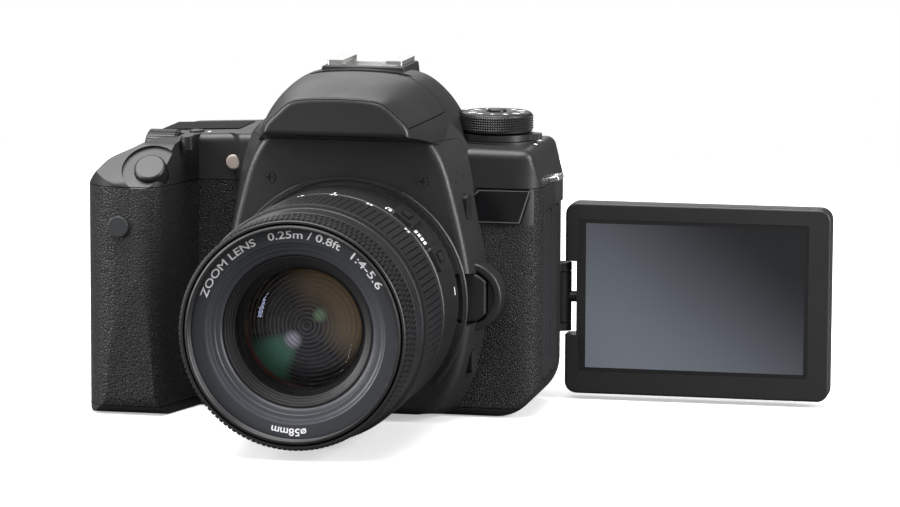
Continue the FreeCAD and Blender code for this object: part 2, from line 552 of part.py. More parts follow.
def build_moving_body_parts():
    mirror = slab([(1.0, 53.0, 0), (2.0, 52.0, 0), (-18.8, 31.2, 0), (-19.8, 32.2, 0)], "x", -14.0, 14.0)
    export("reflex_mirror", mirror.fuse(rod(0.9, (-17.6, 1.8, 52.8), (17.6, 1.8, 52.8))))
    cup = slab([(-18.5, 66.4, 6), (18.5, 66.4, 6), (18.5, 87.6, 8), (-18.5, 87.6, 8)], "y", BODY_BACK + 1.4,
               EYECUP_BACK)
    cup = softened(cup, 2.2, lambda e: e.BoundBox.YMin > EYECUP_BACK - 0.1)
    export("eyecup", cup.cut(slab([(-11.4, 70, 3), (11.4, 70, 3), (11.4, 83, 3), (-11.4, 83, 3)], "y", 20, 40)))
    wheel = softened(rod(3.4, (22.3, BODY_BACK + 1.4, 79.5), (22.3, 28.0, 79.5)), 0.5,
                     lambda e: e.BoundBox.YMin > 27.5)
    export("diopter_dial", wheel.fuse(rod(1.25, (22.3, 22.4, 79.5), (22.3, 26, 79.5))))
    head = HUMP.common(flash_seam(FIT))
    room = hump_inside(1.8).common(flash_seam(FIT + 1.6))
    py, pz = FLASH_PIVOT
    head = head.cut(room).fuse(flash_knuckles(2.2).common(box(-12, 12, -22, 0, 90, 96.9)))
    bulb = box(-11.2, 11.2, -40.0, -30.0, 84.4, 88.6)
    carrier = box(-11.8, 11.8, -40.2, -29.0, 88.6, 92.0).common(flash_seam(FIT))
    head = joined(head, carrier).cut([rod(0.95, (-13, py, pz), (13, py, pz)), bulb])
    export("flash_head", max(head.Solids, key=lambda solid: solid.Volume))
    export("flash_window", bulb)
    dial = rod(DIAL_R, (DIAL_X, DIAL_Y, 79.4), (DIAL_X, DIAL_Y, 85.2))
    dial = softened(dial, 0.9, lambda e: e.BoundBox.ZMin > 85).fuse(
        rod(3.8, (DIAL_X, DIAL_Y, 72.0), (DIAL_X, DIAL_Y, 79.4)))
    dial = dial.cut(rod(2.9, (DIAL_X, DIAL_Y, 78.0), (DIAL_X, DIAL_Y, 90)))
    export("mode_dial", dial)
    knob = rod(2.7, (DIAL_X, DIAL_Y, 79.4), (DIAL_X, DIAL_Y, 85.9))
    export("dial_lock_button", softened(knob, 0.4, lambda e: e.BoundBox.ZMin > 85))
    lever = rod(DIAL_R, (DIAL_X, DIAL_Y, 77.4), (DIAL_X, DIAL_Y, 79.1)).fuse(
        slab([(DIAL_X + 7, 0.0, 1), (DIAL_X + 13.0, 3.4, 1), (DIAL_X + 13.0, 6.6, 1), (DIAL_X + 7, 10.0, 1)], "z",
             77.4, 79.1))
    export("power_lever", lever.cut(rod(3.9, (DIAL_X, DIAL_Y, 70), (DIAL_X, DIAL_Y, 90))))
    for name, spec in BUTTONS.items():
        d = V(*spec[1]).normalize()
        top = V(*spec[0]) + d * spec[3]
        cap = softened(button(*spec), 0.35 if spec[2] < 4 else 0.8,
                       lambda e: len(e.Vertexes) == 1 and (e.BoundBox.Center - top).dot(d) > -0.2)
        export(name, cap)
    for name, z in (("flash_button", 61.0), ("preview_button", 17.0)):
        export(name, ridge_button(z))
    export("lens_release_button", softened(release_button(), 0.7, lambda e: e.BoundBox.YMax < -25.3))
    export("main_dial", softened(main_wheel(), 0.5))
    ring = rod(QUICK_R, (QUICK_X, BODY_BACK - 1.3, QUICK_Z), (QUICK_X, 26.2, QUICK_Z))
    ring = softened(ring, 1.0, lambda e: e.BoundBox.YMin > 26).fuse(
        rod(5.9, (QUICK_X, 19.6, QUICK_Z), (QUICK_X, 24, QUICK_Z)))
    export("quick_dial", ring.cut(rod(4.7, (QUICK_X, 10, QUICK_Z), (QUICK_X, 40, QUICK_Z))))
    export("set_button", softened(rod(4.5, (QUICK_X, 20.0, QUICK_Z), (QUICK_X, 26.6, QUICK_Z)), 0.5,
                                  lambda e: e.BoundBox.YMin > 26))
    for name in SIDE_DOORS:
        export(name, softened(side_door(name), 0.35, lambda e: e.BoundBox.XMin > BODY_RIGHT - 0.1))
    export("card_door", softened(card_door(), 0.35, lambda e: e.BoundBox.XMax < BODY_LEFT + 0.1))
    export("battery_door", battery_door())


def build_monitor():
    """A swivelling hinge and the monitor it carries, turned with its screen to the front."""
    near, far = HINGE_X + PANEL_GAP, HINGE_X + PANEL_GAP + PANEL_W
    low, high = PANEL_Z - PANEL_H / 2, PANEL_Z + PANEL_H / 2
    front, back = HINGE_Y - PANEL_T / 2, HINGE_Y + PANEL_T / 2
    barrel = rod(2.6, (HINGE_X, HINGE_Y, 22.3), (HINGE_X, HINGE_Y, 36.9))
    barrel = barrel.fuse(rod(1.0, (HINGE_X, HINGE_Y, 19.8), (HINGE_X, HINGE_Y, 39.4)))
    stem = rod(1.6, (HINGE_X, HINGE_Y, PANEL_Z), (near + 5.7, HINGE_Y, PANEL_Z))
    flange = rod(2.4, (near + 4.4, HINGE_Y, PANEL_Z), (near + 5.6, HINGE_Y, PANEL_Z))
    export("monitor_hinge", joined(barrel, stem, flange))
    case = slab([(near, low, 3.5), (far, low, 3.5), (far, high, 3.5), (near, high, 3.5)], "y", front, back)
    case = softened(case, 0.8, lambda e: e.BoundBox.YMax < front + 0.01 or e.BoundBox.YMin > back - 0.01)
    glass = [(near + 4.0, low + 6.6, 0.8), (far - 6.2, low + 6.6, 0.8), (far - 6.2, high - 4.7, 0.8),
             (near + 4.0, high - 4.7, 0.8)]
    screen = box(near + 5.9, far - 7.2, front + 1.0, front + 2.2, low + 7.6, high - 5.7)
    case = case.cut([slab(glass, "y", front - 1, front + 1.0), screen,
                     box(near - 1, near + NOTCH_D, 0, 40, PANEL_Z - NOTCH_H / 2, PANEL_Z + NOTCH_H / 2),
                     rod(1.65, (near, HINGE_Y, PANEL_Z), (near + 6.2, HINGE_Y, PANEL_Z)),
                     rod(2.5, (near + 4.2, HINGE_Y, PANEL_Z), (near + 5.8, HINGE_Y, PANEL_Z))])
    export("monitor_case", case)
    export("monitor_glass", slab(glass, "y", front + 0.25, front + 1.0))
    export("monitor_display", screen)


def build_lens():
    """The zoom lens, from the bayonet to the filter thread."""
    barrel = turned([(23.4, -30.6), (24.9, -30.6), (24.9, FLANGE), (33.0, FLANGE), (33.0, -52.9), (32.6, -53.3),
                     (30.4, -53.3), (30.4, -74.6), (29.1, -74.6), (29.1, -36.4), (23.4, -36.4)])
    tabs = lens_tube(26.7, 24.9, -31.8, -30.6).common(three_sectors(50.0, 27.5, 0.0))
    barrel = joined(barrel, tabs)
    switches = {}
    for name, angle in (("focus_mode_switch", 52.0), ("stabiliser_switch", 27.0)):
        pod = slab([(-3.6, -51.8, 1.2), (3.6, -51.8, 1.2), (3.6, -37.6, 1.2), (-3.6, -37.6, 1.2)], "z", 31.6, 34.0)
        pod = pod.cut(slab([(-1.5, -49.4, 0.6), (1.5, -49.4, 0.6), (1.5, -41.0, 0.6), (-1.5, -41.0, 0.6)], "z", 32.9, 36))
        knob = box(-1.2, 1.2, -49.1, -44.2, 33.2, 34.6)
        for piece in (pod, knob):
            piece.rotate(V(0, 0, 0), V(0, 1, 0), 90 - angle)
            piece.translate(V(0, 0, LENS_Z))
        barrel = barrel.fuse(pod)
        groove = slab([(-1.5, -49.4, 0.6), (1.5, -49.4, 0.6), (1.5, -41.0, 0.6), (-1.5, -41.0, 0.6)], "z", 32.6, 36)
        groove.rotate(V(0, 0, 0), V(0, 1, 0), 90 - angle)
        groove.translate(V(0, 0, LENS_Z))
        barrel = barrel.cut(groove)
        switches[name] = knob
    export("lens_barrel", barrel)
    for name, knob in switches.items():
        export(name, knob)
    grip_ring = turned([(30.8, -75.5), (32.7, -75.5), (LENS_R, -75.0), (LENS_R, -54.2), (32.9, -53.7),
                        (30.8, -53.7)])
    export("zoom_ring", grip_ring)
    inner = turned([(28.7, -50.0), (28.7, -76.2), (32.2, -76.2), (31.6, -83.3), (28.5, -83.3), (28.5, -91.3),
                    (29.8, -91.3), (29.8, -95.5), (29.5, LENS_FRONT), (FILTER_R, LENS_FRONT), (FILTER_R, -92.3),
                    (26.0, -92.3), (26.0, -50.0)])
    export("inner_barrel", inner)
    export("focus_ring", turned([(28.8, -91.0), (30.1, -91.0), (30.1, -95.3), (31.2, -95.3), (31.6, -94.8),
                                 (31.6, -84.0), (31.2, -83.6), (28.8, -83.6)]))
    export("name_ring", turned([(26.0, -92.2), (24.4, -92.2), (20.8, -89.6), (20.8, -84.0), (26.0, -84.0)]))
    baffle = turned([(20.8, -89.0), (19.6, -89.0), (19.6, -87.6), (18.2, -86.4), (18.2, -83.0), (17.0, -83.0),
                     (17.0, -60.0), (20.8, -60.0)])
    stop = tube(17.0, 7.5, (0, -68.6, LENS_Z), (0, -67.8, LENS_Z))
    export("optics_cell", baffle.fuse(stop))
    front = rod(17.9, (0, -88.0, LENS_Z), (0, -83.2, LENS_Z)).common(
        Part.makeSphere(32.0, V(0, -55.6, LENS_Z)))
    export("front_element", front)
    middle = rod(16.9, (0, -78.0, LENS_Z), (0, -72.0, LENS_Z)).common(Part.makeSphere(30.0, V(0, -47.9, LENS_Z)))
    rear = rod(16.9, (0, -64.0, LENS_Z), (0, -60.4, LENS_Z)).cut(Part.makeSphere(26.0, V(0, -87.0, LENS_Z)))
    export("lens_elements", Part.makeCompound([middle, rear]))


build_covers()
build_trim()
build_inside()
build_moving_body_parts()
build_monitor()
build_lens()
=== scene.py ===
# %% [markdown]
# # A reflex camera with its monitor swung out
# The casing, lens, dials and doors come from the CAD model, which fixes every size and every joint.
# This lesson gives those parts their finishes, and models the pieces whose surface is the whole point of
# them: ribbed rings, knurled dials, grained rubber, printed marks and coated glass.

# %% Load the CAD frame
import json
import math

import bmesh
import bpy
from mathutils import Matrix, Vector


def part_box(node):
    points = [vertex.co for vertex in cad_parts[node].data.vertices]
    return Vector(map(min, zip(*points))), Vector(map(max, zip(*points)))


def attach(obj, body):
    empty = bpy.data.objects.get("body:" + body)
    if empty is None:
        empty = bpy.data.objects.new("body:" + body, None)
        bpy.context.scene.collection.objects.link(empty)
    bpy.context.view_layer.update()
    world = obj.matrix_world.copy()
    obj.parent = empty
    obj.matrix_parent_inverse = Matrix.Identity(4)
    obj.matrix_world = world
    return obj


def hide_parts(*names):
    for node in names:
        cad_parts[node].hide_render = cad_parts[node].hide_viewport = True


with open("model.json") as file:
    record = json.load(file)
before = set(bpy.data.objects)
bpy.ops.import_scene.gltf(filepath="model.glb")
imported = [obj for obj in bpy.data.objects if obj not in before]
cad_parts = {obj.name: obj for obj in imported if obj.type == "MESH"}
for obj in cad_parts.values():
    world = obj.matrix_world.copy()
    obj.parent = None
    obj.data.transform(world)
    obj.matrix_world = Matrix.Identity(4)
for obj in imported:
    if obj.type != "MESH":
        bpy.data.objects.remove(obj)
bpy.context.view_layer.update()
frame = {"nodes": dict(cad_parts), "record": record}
node = frame["nodes"]
MM = 0.001  # the scene is in metres, and the profiles below are written in millimetres

# %% [markdown]
# The optical axis runs along Y. Its height comes from the zoom ring's box, because that ring is a full
# turn about the axis, so its middle is the axis itself.

# %% Measure the lens axis and the main faces
ring_low, ring_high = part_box("zoom_ring")
AXIS_Z = (ring_low[2] + ring_high[2]) / 2
LENS_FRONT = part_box("inner_barrel")[0][1]
print("axis height %.4f, front of the lens %.4f" % (AXIS_Z, LENS_FRONT))


# %% [markdown]
# Every new piece is a bmesh that becomes an object at the origin. Shading is smooth with sharp edges kept
# above an angle, which is what a moulded part with small radii looks like.

# %% Finish a piece
# FINISH holds a material for each slot and is filled further down.
def finish_piece(name, bm, body, slot, stands_for=(), *, angle):
    """Turns a bmesh into a piece on a body, with a slot's finish; edges above the angle stay sharp."""
    mesh = bpy.data.meshes.new(name)
    bm.to_mesh(mesh)
    bm.free()
    mesh.shade_smooth()
    mesh.set_sharp_from_angle(angle=math.radians(angle))
    piece = bpy.data.objects.new(name, mesh)
    bpy.context.scene.collection.objects.link(piece)
    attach(piece, body)
    if stands_for:
        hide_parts(*stands_for)
    mesh.materials.append(FINISH[slot])
    print(name, "faces:", len(mesh.polygons))
    return piece


# %% [markdown]
# Rings, tubes and dials are all turned shapes: a profile of (radius, distance) points is spun about an axis,
# and its seam is welded shut. A closed profile gives a ring, and an open one starts and ends on the axis.

# %% Turn a profile about an axis
WELD = 1e-6
LENS_CENTRE, LENS_ALONG, LENS_OUT = Vector((0, 0, AXIS_Z)), Vector((0, 1, 0)), Vector((0, 0, 1))


def profile_chain(bm, points, centre, along, out):
    """Adds (radius, distance) points as a chain of edges in a plane through the axis."""
    spots = [bm.verts.new(centre + out * r + along * d) for r, d in points]
    edges = [bm.edges.new(pair) for pair in zip(spots, spots[1:])]
    return spots + edges


def turn(bm, points, centre, along, out, steps, closed=True):
    """Spins a profile a full turn about an axis, and closes it into a ring if asked."""
    if closed:
        points = points + points[:1]
    geom = profile_chain(bm, points, centre, along, out)
    bmesh.ops.spin(bm, geom=geom, cent=centre, axis=along, angle=math.tau, steps=steps, use_merge=True)
    bmesh.ops.remove_doubles(bm, verts=bm.verts, dist=WELD)
    bmesh.ops.recalc_face_normals(bm, faces=bm.faces)


def lens_ring(points_mm, steps):
    """A closed ring about the optical axis from (radius, y) points in millimetres."""
    bm = bmesh.new()
    turn(bm, [(r * MM, y * MM) for r, y in points_mm], LENS_CENTRE, LENS_ALONG, LENS_OUT, steps)
    return bm


def merge(bm, part):
    """Moves one bmesh into another."""
    mesh = bpy.data.meshes.new("part")
    part.to_mesh(mesh)
    part.free()
    bm.from_mesh(mesh)
    bpy.data.meshes.remove(mesh)


print("lens centre", [round(v, 4) for v in LENS_CENTRE])


# %% [markdown]
# The finishes are built from a few kinds of shader node again and again: sums, ramps and mixed colours. A short
# function for each keeps the materials readable.

# %% Small shader helpers
def add(tree, kind, **settings):
    """Adds a node to a material or a group and sets its plain properties."""
    made = tree.nodes.new(kind)
    for key, value in settings.items():
        setattr(made, key, value)
    return made


def math_node(tree, operation, *values):
    """A math node fed by sockets or plain numbers."""
    made = add(tree, "ShaderNodeMath", operation=operation)
    for place, value in enumerate(values):
        if isinstance(value, (int, float)):
            made.inputs[place].default_value = value
        else:
            tree.links.new(value, made.inputs[place])
    return made.outputs[0]


def mapped(tree, value, start, end, low=0.0, high=1.0, shape="SMOOTHSTEP"):
    """Carries a value from the span start to end onto the span low to high."""
    ramp = add(tree, "ShaderNodeMapRange", interpolation_type=shape)
    ramp.inputs["From Min"].default_value, ramp.inputs["From Max"].default_value = start, end
    ramp.inputs["To Min"].default_value, ramp.inputs["To Max"].default_value = low, high
    tree.links.new(value, ramp.inputs["Value"])
    return ramp.outputs["Result"]


def tone_between(tree, dark, light, factor):
    """Two colours mixed by a factor; each is a plain triple or the socket of another node."""
    tone = add(tree, "ShaderNodeMix", data_type="RGBA")
    tree.links.new(factor, tone.inputs["Factor"])
    for place, color in (("A", dark), ("B", light)):
        if isinstance(color, tuple):
            tone.inputs[place].default_value = (*color, 1)
        else:
            tree.links.new(color, tone.inputs[place])
    return tone.outputs["Result"]


def finish(name, color, roughness, coat=0.0, specular=0.5):
    """A material with its plain values set on the shader, ready for textures."""
    made = bpy.data.materials.new(name)
    made.use_nodes = True
    shader = made.node_tree.nodes["Principled BSDF"]
    shader.inputs["Base Color"].default_value = (*color, 1)
    shader.inputs["Roughness"].default_value = roughness
    shader.inputs["Coat Weight"].default_value = coat
    shader.inputs["Specular IOR Level"].default_value = specular
    return made, made.node_tree, shader


# %% [markdown]
# The view is long-lensed and a little above the object, from the monitor's side.

# %% Camera
AZIMUTH, ELEVATION, ROLL = (math.radians(angle) for angle in (11.34, 8.10, 0.26))
CAMERA_FAR = 1.2622  # metres from the target
SENSOR_MM, FOCAL_MM = 36.0, 175.688
TARGET = Vector((23.89, 0, 44.23)) * MM
back = Vector((math.sin(AZIMUTH) * math.cos(ELEVATION), -math.cos(AZIMUTH) * math.cos(ELEVATION),
               math.sin(ELEVATION)))
camera = bpy.data.objects.new("camera", bpy.data.cameras.new("camera"))
bpy.context.scene.collection.objects.link(camera)
camera.data.sensor_width, camera.data.lens = SENSOR_MM, FOCAL_MM
camera.data.clip_start, camera.data.clip_end = 0.05, 20
camera.rotation_mode = "QUATERNION"
camera.location = TARGET + back * CAMERA_FAR
right = Vector((math.cos(AZIMUTH), math.sin(AZIMUTH), 0))
up = back.cross(right)
tilt = Matrix.Rotation(ROLL, 3, back)
right, up = tilt @ right, tilt @ up
camera.rotation_quaternion = Matrix((right, up, back)).transposed().to_quaternion()
bpy.context.scene.camera = camera
print("camera at", [round(v, 3) for v in camera.location])

# %% [markdown]
# The object stands on a sheet of pale paper in a pale room. A white room that a black object reflects would
# wash it out, so the paper and the room are pale to the camera only, and dim to every other ray.

# %% Paper floor and room
FLOOR_HALF, FLOOR_DROP = 0.6, 0.0002
PAPER_SEEN, PAPER_REFLECTED, PAPER_GLOW = (0.93, 0.93, 0.93), (0.1, 0.1, 0.1), 0.4
ROOM_SEEN, ROOM_REFLECTED = 1.0, 0.13
bm = bmesh.new()
bmesh.ops.create_grid(bm, x_segments=1, y_segments=1, size=FLOOR_HALF)
bmesh.ops.translate(bm, verts=bm.verts, vec=(0, 0, -FLOOR_DROP))
floor_mesh = bpy.data.meshes.new("floor")
bm.to_mesh(floor_mesh)
bm.free()
floor = bpy.data.objects.new("floor", floor_mesh)
bpy.context.scene.collection.objects.link(floor)
paper, tree, shader = finish("paper_floor", (1, 1, 1), 0.9)
seen = add(tree, "ShaderNodeLightPath").outputs["Is Camera Ray"]
tree.links.new(tone_between(tree, PAPER_REFLECTED, PAPER_SEEN, seen), shader.inputs["Base Color"])
tree.links.new(math_node(tree, "MULTIPLY", seen, PAPER_GLOW), shader.inputs["Emission Strength"])
shader.inputs["Emission Color"].default_value = (1, 1, 1, 1)
floor.data.materials.append(paper)
world = bpy.data.worlds.new("pale_room")
world.use_nodes = True
tree, sky = world.node_tree, world.node_tree.nodes["Background"]
sky.inputs["Color"].default_value = (1, 1, 1, 1)
seen = add(tree, "ShaderNodeLightPath").outputs["Is Camera Ray"]
tree.links.new(mapped(tree, seen, 0.0, 1.0, ROOM_REFLECTED, ROOM_SEEN, "LINEAR"), sky.inputs["Strength"])
bpy.context.scene.world = world
bpy.context.scene.view_settings.view_transform = "Standard"
print("floor half width:", FLOOR_HALF)

# %% [markdown]
# A camera is lit in a studio by large soft boxes, so black plastic shows broad grey highlights with soft
# edges: one above, one on each side, and a weak one behind that draws the outline of the hump. The front fill
# only lifts the shadows, so it leaves no reflection in the glass.

# %% Soft boxes
LIT_POINT = Vector((0.02, -0.02, 0.045))
SOFT_BOXES = (  # name, place in metres, width and height in metres, power in watts
    ("top_soft_box", (-0.15, -0.25, 1.15), (1.3, 0.9), 29),
    ("left_soft_box", (-1.3, -0.75, 0.55), (0.6, 1.1), 26),
    ("right_soft_box", (1.35, -0.35, 0.5), (0.4, 1.1), 24),
    ("back_soft_box", (-0.5, 1.3, 0.75), (1.2, 0.6), 4),
    ("front_fill", (0.1, -1.9, 0.9), (1.8, 0.7), 5),
)
for name, place, size, power in SOFT_BOXES:
    light = bpy.data.lights.new(name, "AREA")
    light.shape, light.size, light.size_y = "RECTANGLE", size[0], size[1]
    light.energy = power
    lamp = bpy.data.objects.new(name, light)
    bpy.context.scene.collection.objects.link(lamp)
    lamp.location = place
    lamp.rotation_mode = "QUATERNION"
    lamp.rotation_quaternion = (Vector(place) - LIT_POINT).to_track_quat("Z", "Y")
    lamp.visible_glossy = lamp.visible_transmission = name != "front_fill"
print("lights:", len(SOFT_BOXES))


# %% [markdown]
# Several finishes share the same small effects. Each effect is one node group with its own inputs: a fine
# spark-eroded texture for moulded plastic, a leather grain for the rubber, and a slight unevenness of gloss
# from handling. Groups give out only masks and heights; the shader stays in each material.

# %% Shared shader groups
def new_group(name, inputs, outputs):
    """An empty shader group with named float inputs and outputs."""
    group = bpy.data.node_groups.new(name, "ShaderNodeTree")
    for label, value in inputs:
        socket = group.interface.new_socket(label, in_out="INPUT", socket_type="NodeSocketFloat")
        socket.default_value = value
    for label in outputs:
        group.interface.new_socket(label, in_out="OUTPUT", socket_type="NodeSocketFloat")
    return group, group.nodes.new("NodeGroupInput"), group.nodes.new("NodeGroupOutput")


def build_plastic_texture():
    """Fine pits and grains a fraction of a millimetre across, and a broad unevenness of gloss."""
    group, given, out = new_group("moulded_texture", [("Grain per m", 2600.0)], ["Height", "Gloss"])
    place = add(group, "ShaderNodeTexCoord")
    grain = add(group, "ShaderNodeTexNoise")
    grain.inputs["Detail"].default_value = 3.0
    broad = add(group, "ShaderNodeTexNoise")
    broad.inputs["Scale"].default_value = 55.0
    broad.inputs["Detail"].default_value = 4.0
    for texture in (grain, broad):
        group.links.new(place.outputs["Object"], texture.inputs["Vector"])
    group.links.new(given.outputs["Grain per m"], grain.inputs["Scale"])
    group.links.new(grain.outputs["Fac"], out.inputs["Height"])
    group.links.new(broad.outputs["Fac"], out.inputs["Gloss"])
    return group


DRIFT_SCALE, FINE_SCALE = 700.0, 4200.0
CREASE_WIDTH, PEBBLE_DOME, FINE_SHARE = 0.16, -0.55, 0.18


def build_leather_grain():
    """Rounded pebbles parted by narrow creases, with their size and outline varied."""
    group, given, out = new_group("leather_grain", [("Pebbles per m", 900.0), ("Wander", 0.0006)],
                                  ["Height", "Crease"])
    place = add(group, "ShaderNodeTexCoord")
    drift = add(group, "ShaderNodeTexNoise")
    drift.inputs["Scale"].default_value = DRIFT_SCALE
    group.links.new(place.outputs["Object"], drift.inputs["Vector"])
    shift = add(group, "ShaderNodeVectorMath", operation="SUBTRACT")
    group.links.new(drift.outputs["Color"], shift.inputs[0])
    shift.inputs[1].default_value = (0.5, 0.5, 0.5)
    scaled = add(group, "ShaderNodeVectorMath", operation="SCALE")
    group.links.new(shift.outputs[0], scaled.inputs[0])
    group.links.new(given.outputs["Wander"], scaled.inputs["Scale"])
    moved = add(group, "ShaderNodeVectorMath", operation="ADD")
    group.links.new(place.outputs["Object"], moved.inputs[0])
    group.links.new(scaled.outputs[0], moved.inputs[1])
    cells = add(group, "ShaderNodeTexVoronoi", feature="SMOOTH_F1")
    cells.inputs["Smoothness"].default_value = 0.25
    edges = add(group, "ShaderNodeTexVoronoi", feature="DISTANCE_TO_EDGE")
    for texture in (cells, edges):
        group.links.new(moved.outputs[0], texture.inputs["Vector"])
        group.links.new(given.outputs["Pebbles per m"], texture.inputs["Scale"])
    fine = add(group, "ShaderNodeTexNoise")
    fine.inputs["Scale"].default_value = FINE_SCALE
    group.links.new(place.outputs["Object"], fine.inputs["Vector"])
    crease = mapped(group, edges.outputs["Distance"], 0.0, CREASE_WIDTH)
    dome = math_node(group, "MULTIPLY_ADD", cells.outputs["Distance"], PEBBLE_DOME, crease)
    height = math_node(group, "MULTIPLY_ADD", fine.outputs["Fac"], FINE_SHARE, dome)
    group.links.new(height, out.inputs["Height"])
    group.links.new(crease, out.inputs["Crease"])
    return group


TEXTURE, LEATHER = build_plastic_texture(), build_leather_grain()
print("groups:", TEXTURE.name, LEATHER.name)


# %% [markdown]
# The casing is glass-filled plastic moulded in textured steel, the grip is moulded rubber with a leather grain,
# and the windows are clear plastic or glass. Each kind of finish is one function, and FINISH holds one material
# for each slot of the CAD record.

# %% Kinds of finish
GLASS_IOR, FILM_IOR = 1.5, 1.38
# the first share darkens the grain's creases as painted shade; the roughness is their real dullness
CREASE_PAINTED_SHADE, CREASE_ROUGHNESS = 0.35, 0.8


def bumped(tree, shader, height, depth):
    """Feeds a height to the shader's normal; depth is the relief in metres."""
    bump = add(tree, "ShaderNodeBump")
    bump.inputs["Strength"].default_value, bump.inputs["Distance"].default_value = 1.0, depth
    tree.links.new(height, bump.inputs["Height"])
    tree.links.new(bump.outputs["Normal"], shader.inputs["Normal"])


def moulded(name, color, rough, spread, grain=2600.0, depth=0.00003):
    """Plastic or metal with a fine texture: gloss wanders between two roughness values."""
    made, tree, shader = finish(name, color, rough)
    group = add(tree, "ShaderNodeGroup", node_tree=TEXTURE)
    group.inputs["Grain per m"].default_value = grain
    gloss = mapped(tree, group.outputs["Gloss"], 0.3, 0.7, rough - spread, rough + spread, "LINEAR")
    tree.links.new(gloss, shader.inputs["Roughness"])
    bumped(tree, shader, group.outputs["Height"], depth)
    return made


def grained_rubber(name, color, rough, pebbles, depth, wander):
    """Rubber with a moulded leather grain: creases are duller than the pebbles, and darker with painted shade.
    """
    made, tree, shader = finish(name, color, rough, specular=0.45)
    group = add(tree, "ShaderNodeGroup", node_tree=LEATHER)
    group.inputs["Pebbles per m"].default_value = pebbles
    group.inputs["Wander"].default_value = wander
    crease = group.outputs["Crease"]
    # painted shade: the creases are darkened, as shade would fall in them
    tone = tone_between(tree, tuple(part * CREASE_PAINTED_SHADE for part in color), color, crease)
    tree.links.new(tone, shader.inputs["Base Color"])
    gloss = mapped(tree, crease, 0.0, 1.0, CREASE_ROUGHNESS, rough, "LINEAR")
    tree.links.new(gloss, shader.inputs["Roughness"])
    bumped(tree, shader, group.outputs["Height"], depth)
    return made


def glass(name, tint, roughness=0.02):
    """Clear optical material that keeps plain transmission."""
    made, _, shader = finish(name, tint, roughness)
    shader.inputs["Transmission Weight"].default_value = 1.0
    shader.inputs["IOR"].default_value = GLASS_IOR
    return made


print("groups used:", TEXTURE.name, LEATHER.name)

# %% A finish for each slot
FINISH = {
    "satin_black": moulded("satin_black", (0.018, 0.018, 0.019), 0.42, 0.06, depth=0.00004),
    "control_black": moulded("control_black", (0.016, 0.016, 0.017), 0.38, 0.05),
    "lens_black": moulded("lens_black", (0.014, 0.014, 0.015), 0.40, 0.05),
    "soft_rubber": moulded("soft_rubber", (0.012, 0.012, 0.013), 0.6, 0.05, grain=1900.0, depth=0.00005),
    "grip_rubber": grained_rubber("grip_rubber", (0.021, 0.021, 0.022), 0.42, 1300.0, 0.00024, wander=0.0004),
    "ring_grey": moulded("ring_grey", (0.038, 0.041, 0.048), 0.42, 0.03, depth=0.00001),
    "interior_black": moulded("interior_black", (0.006, 0.006, 0.006), 0.5, 0.04),
    "battery_case": moulded("battery_case", (0.02, 0.02, 0.022), 0.5, 0.05),
    "badge_black": moulded("badge_black", (0.006, 0.006, 0.007), 0.12, 0.03, depth=0.000004),
    "display_panel": moulded("display_panel", (0.02, 0.022, 0.026), 0.2, 0.02, depth=0.000002),
    "sensor_face": moulded("sensor_face", (0.03, 0.05, 0.05), 0.2, 0.03),
    "lamp_lens": moulded("lamp_lens", (0.45, 0.38, 0.34), 0.3, 0.05),
    "dark_screw": moulded("dark_screw", (0.02, 0.02, 0.022), 0.35, 0.05),
    "optical_glass": glass("optical_glass", (0.95, 0.97, 1.0)),
    "window_glass": glass("window_glass", (0.05, 0.05, 0.055)),
    "monitor_glass": glass("monitor_glass", (0.6, 0.63, 0.68)),
}
METALS = (("bright_steel", (0.82, 0.82, 0.81), 0.36), ("mount_steel", (0.6, 0.6, 0.61), 0.3),
          ("socket_brass", (0.72, 0.66, 0.5), 0.35), ("mirror_silver", (0.9, 0.9, 0.9), 0.03))
for name, color, rough in METALS:
    FINISH[name] = moulded(name, color, rough, 0.02, grain=1200.0, depth=0.000004)
    FINISH[name].node_tree.nodes["Principled BSDF"].inputs["Metallic"].default_value = 1.0
SMOKED = moulded("smoked_window", (0.03, 0.032, 0.034), 0.4, 0.03, depth=0.000004)
FINISH["printed_white"] = moulded("printed_white", (0.9, 0.9, 0.91), 0.5, 0.05, depth=0.000002)
SIDE_LEATHER = grained_rubber("side_leather", (0.02, 0.02, 0.021), 0.46, 1500.0, 0.0002, wander=0.0003)
print("finishes:", len(FINISH))

# %% [markdown]
# A display that is switched off is near black, with a black border round it. The dark blue-grey that grows a
# little lighter towards one lower corner is a painted reflection: a slope of tone across the panel.

# %% Display tint with a painted reflection
REFLECTION_WAY, REFLECTION_SPAN = (0.62, 0, 0.78), (0.044, 0.108)
PANEL_REFLECTION, PANEL_DARK, PANEL_BORDER = (0.17, 0.19, 0.225), (0.004, 0.005, 0.007), (0.003, 0.003, 0.003)
BORDER_OVERLAP = 0.0002


